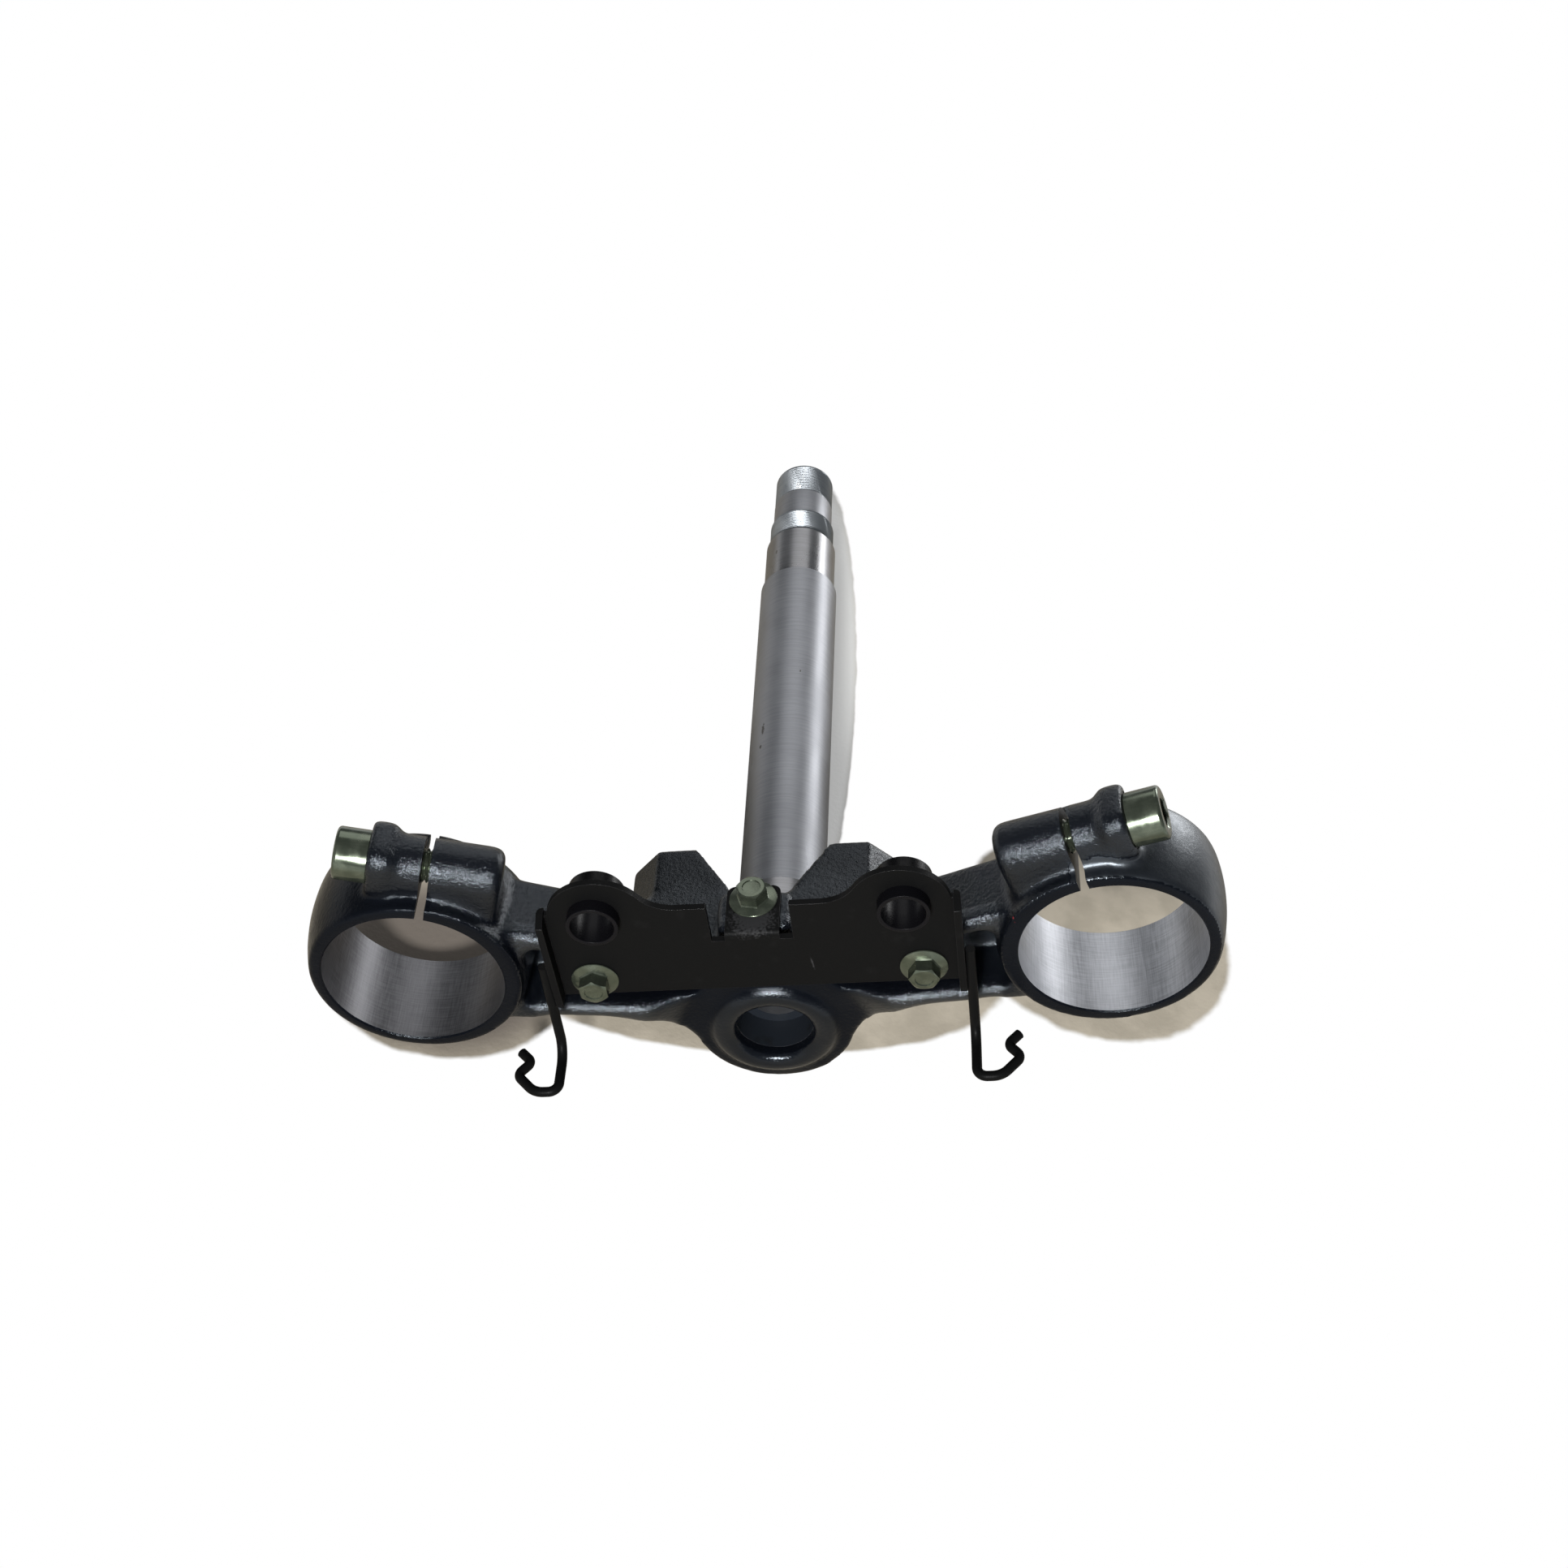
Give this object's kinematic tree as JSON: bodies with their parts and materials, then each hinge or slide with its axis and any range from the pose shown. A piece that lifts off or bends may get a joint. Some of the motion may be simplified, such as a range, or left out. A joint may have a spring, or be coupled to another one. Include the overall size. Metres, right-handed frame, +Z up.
{
  "type": "motorcycle triple clamp",
  "caption": "Lower triple clamp of a motorcycle: split fork rings with pinch bolts, a hollow steering stem, steering stops and a bolted sheet bracket with wire hose guides.",
  "frame": {"origin": "on the floor, under the middle of the bounding box, with the clamp lying on its back as it comes to rest", "axes": "+Z up; +Y along the stem, seen from above, towards its threaded end; +X across, towards the ring that stands higher. On the motorcycle +X is the rider's left. Left and right in the names are as seen from the fork rings' lower end with the stem pointing away, so left is -X."},
  "size_m": [0.2607, 0.3048, 0.1463],
  "materials": {
    "clamp_paint": "semi-gloss blue-black paint on a rough casting, bare grey in the machined bores",
    "stem_steel": "turned and ground bare steel",
    "bracket_paint": "flat black paint, worn at the tab",
    "zinc_plate": "olive zinc plating, glossy"
  },
  "bodies": {
    "root": {"lower_clamp": "clamp_paint", "steering_stem": "stem_steel", "pinch_bolts": "zinc_plate", "guide_bracket": "bracket_paint", "left_collar": "bracket_paint", "right_collar": "bracket_paint", "left_hose_guide": "bracket_paint", "right_hose_guide": "bracket_paint", "bracket_bolts": "zinc_plate"}
  },
  "joints": []
}
